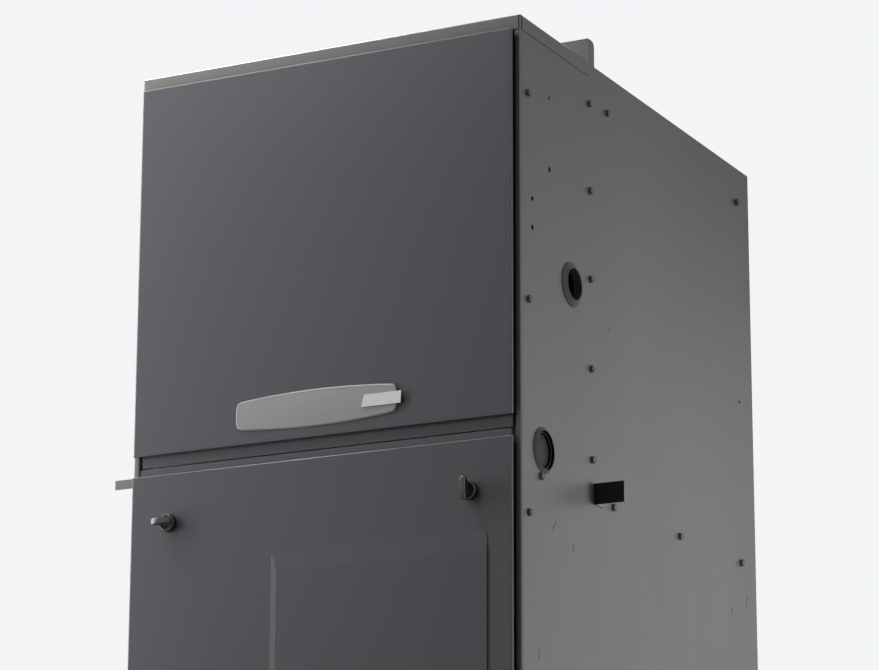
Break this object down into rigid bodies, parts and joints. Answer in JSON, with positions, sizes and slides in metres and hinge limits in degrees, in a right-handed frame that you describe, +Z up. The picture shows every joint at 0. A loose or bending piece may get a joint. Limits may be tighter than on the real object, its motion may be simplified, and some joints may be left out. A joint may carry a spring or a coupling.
{
  "type": "forced air gas furnace",
  "caption": "Upright condensing forced air gas furnace with lift-off front doors, quarter-turn latches, tubular heat exchanger, burners, inducer and scroll blower.",
  "frame": {"origin": "centre of the cabinet's footprint, on the floor plane under the base flange", "axes": "+Z up the cabinet, -Y out of the doors at the front, +X towards the cabinet's right side as seen from the front"},
  "size_m": [0.6164, 0.7533, 1.0495],
  "materials": {
    "cabinet_paint": "satin baked enamel, neutral grey",
    "door_paint": "satin baked enamel, slate grey",
    "galvanised": "galvanised, dull spangle",
    "aluminised": "aluminised, matte",
    "bare_steel": "plain",
    "zinc_screw": "zinc plated",
    "fin_aluminium": "mill finish",
    "cast_aluminium": "as cast",
    "dark_pipe": "black pipe",
    "black_enamel": "satin black",
    "motor_enamel": "satin",
    "brass": "machined",
    "latch_plastic": "glossy",
    "black_plastic": "moulded",
    "dark_plastic": "moulded",
    "plug_plastic": "moulded",
    "white_plastic": "moulded",
    "red_plastic": "moulded",
    "pipe_plastic": "extruded",
    "ceramic": "unglazed ceramic",
    "foam": "closed cell foam",
    "seal_rubber": "foam gasket",
    "silicone_hose": "silicone",
    "black_hose": "smooth",
    "wire_sleeve": "braided sleeve",
    "nameplate_paint": "satin, domed",
    "tag_metal": "bright"
  },
  "bodies": {
    "cabinet": {"left_side_panel": "cabinet_paint", "right_side_panel": "cabinet_paint", "back_panel": "cabinet_paint", "base_frame": "galvanised", "mid_rail": "galvanised", "top_cap": "cabinet_paint", "supply_air_rim": "galvanised", "duct_flange": "cabinet_paint", "vestibule_panel": "galvanised", "blower_deck": "galvanised", "side_screws": "zinc_screw", "left_side_tab": "cabinet_paint", "right_side_tab": "black_enamel", "gas_grommet": "black_plastic", "drain_grommet": "black_plastic", "side_plugs": "plug_plastic", "primary_tubes": "aluminised", "rear_header": "aluminised", "coil_tubes": "bare_steel", "coil_fins": "fin_aluminium", "collector_box": "black_plastic", "burner_box": "galvanised", "burners": "aluminised", "gas_manifold": "dark_pipe", "gas_orifices": "brass", "gas_valve": "cast_aluminium", "igniter": "ceramic", "flame_sensor": "ceramic", "inducer_housing": "dark_plastic", "inducer_motor": "motor_enamel", "vent_pipe": "pipe_plastic", "pipe_couplings": "black_plastic", "pressure_switches": "dark_plastic", "pressure_hoses": "silicone_hose", "condensate_trap": "black_plastic", "drain_hose": "black_hose", "blower_housing": "galvanised", "blower_motor": "motor_enamel", "blower_motor_mount": "bare_steel", "control_box": "galvanised", "door_switch": "white_plastic", "wiring_harness": "wire_sleeve"},
    "upper_door": {"upper_door_skin": "door_paint", "upper_door_core": "foam", "upper_door_liner": "door_paint", "upper_door_seal": "seal_rubber", "nameplate": "nameplate_paint", "nameplate_tag": "tag_metal"},
    "lower_door": {"lower_door_skin": "door_paint", "lower_door_core": "foam", "lower_door_liner": "galvanised", "lower_door_seal": "seal_rubber"},
    "left_latch": {"left_latch_knob": "latch_plastic", "left_latch_cam": "bare_steel"},
    "right_latch": {"right_latch_knob": "latch_plastic", "right_latch_cam": "bare_steel"},
    "air_wheel": {"blower_wheel": "galvanised"},
    "draught_wheel": {"inducer_wheel": "black_plastic"},
    "valve_knob": {"gas_valve_knob": "red_plastic"},
    "switch_plunger": {"door_switch_plunger": "red_plastic"}
  },
  "joints": [
    {"name": "upper_door_slide", "type": "slide", "parent": "cabinet", "child": "upper_door", "axis": [0, -1, 0], "range_m": [0, 0.25]},
    {"name": "lower_door_slide", "type": "slide", "parent": "cabinet", "child": "lower_door", "axis": [0, -1, 0], "range_m": [0, 0.25]},
    {"name": "left_latch_turn", "type": "hinge", "parent": "lower_door", "child": "left_latch", "pos_m": [-0.2067, -0.36035, 0.4335], "axis": [0, 1, 0], "range_deg": [0, 90]},
    {"name": "right_latch_turn", "type": "hinge", "parent": "lower_door", "child": "right_latch", "pos_m": [0.2043, -0.36035, 0.4335], "axis": [0, -1, 0], "range_deg": [0, 90]},
    {"name": "blower_wheel_spin", "type": "hinge", "parent": "cabinet", "child": "air_wheel", "pos_m": [0, 0.04, 0.236], "axis": [1, 0, 0], "continuous": true},
    {"name": "inducer_wheel_spin", "type": "hinge", "parent": "cabinet", "child": "draught_wheel", "pos_m": [-0.14, -0.23, 0.606], "axis": [0, 1, 0], "continuous": true},
    {"name": "gas_valve_turn", "type": "hinge", "parent": "cabinet", "child": "valve_knob", "pos_m": [0.182, -0.31, 0.714], "axis": [0, 1, 0], "range_deg": [0, 90]},
    {"name": "door_switch_press", "type": "slide", "parent": "cabinet", "child": "switch_plunger", "axis": [0, 1, 0], "range_m": [0, 0.003], "stiffness_N_per_m": 200}
  ]
}
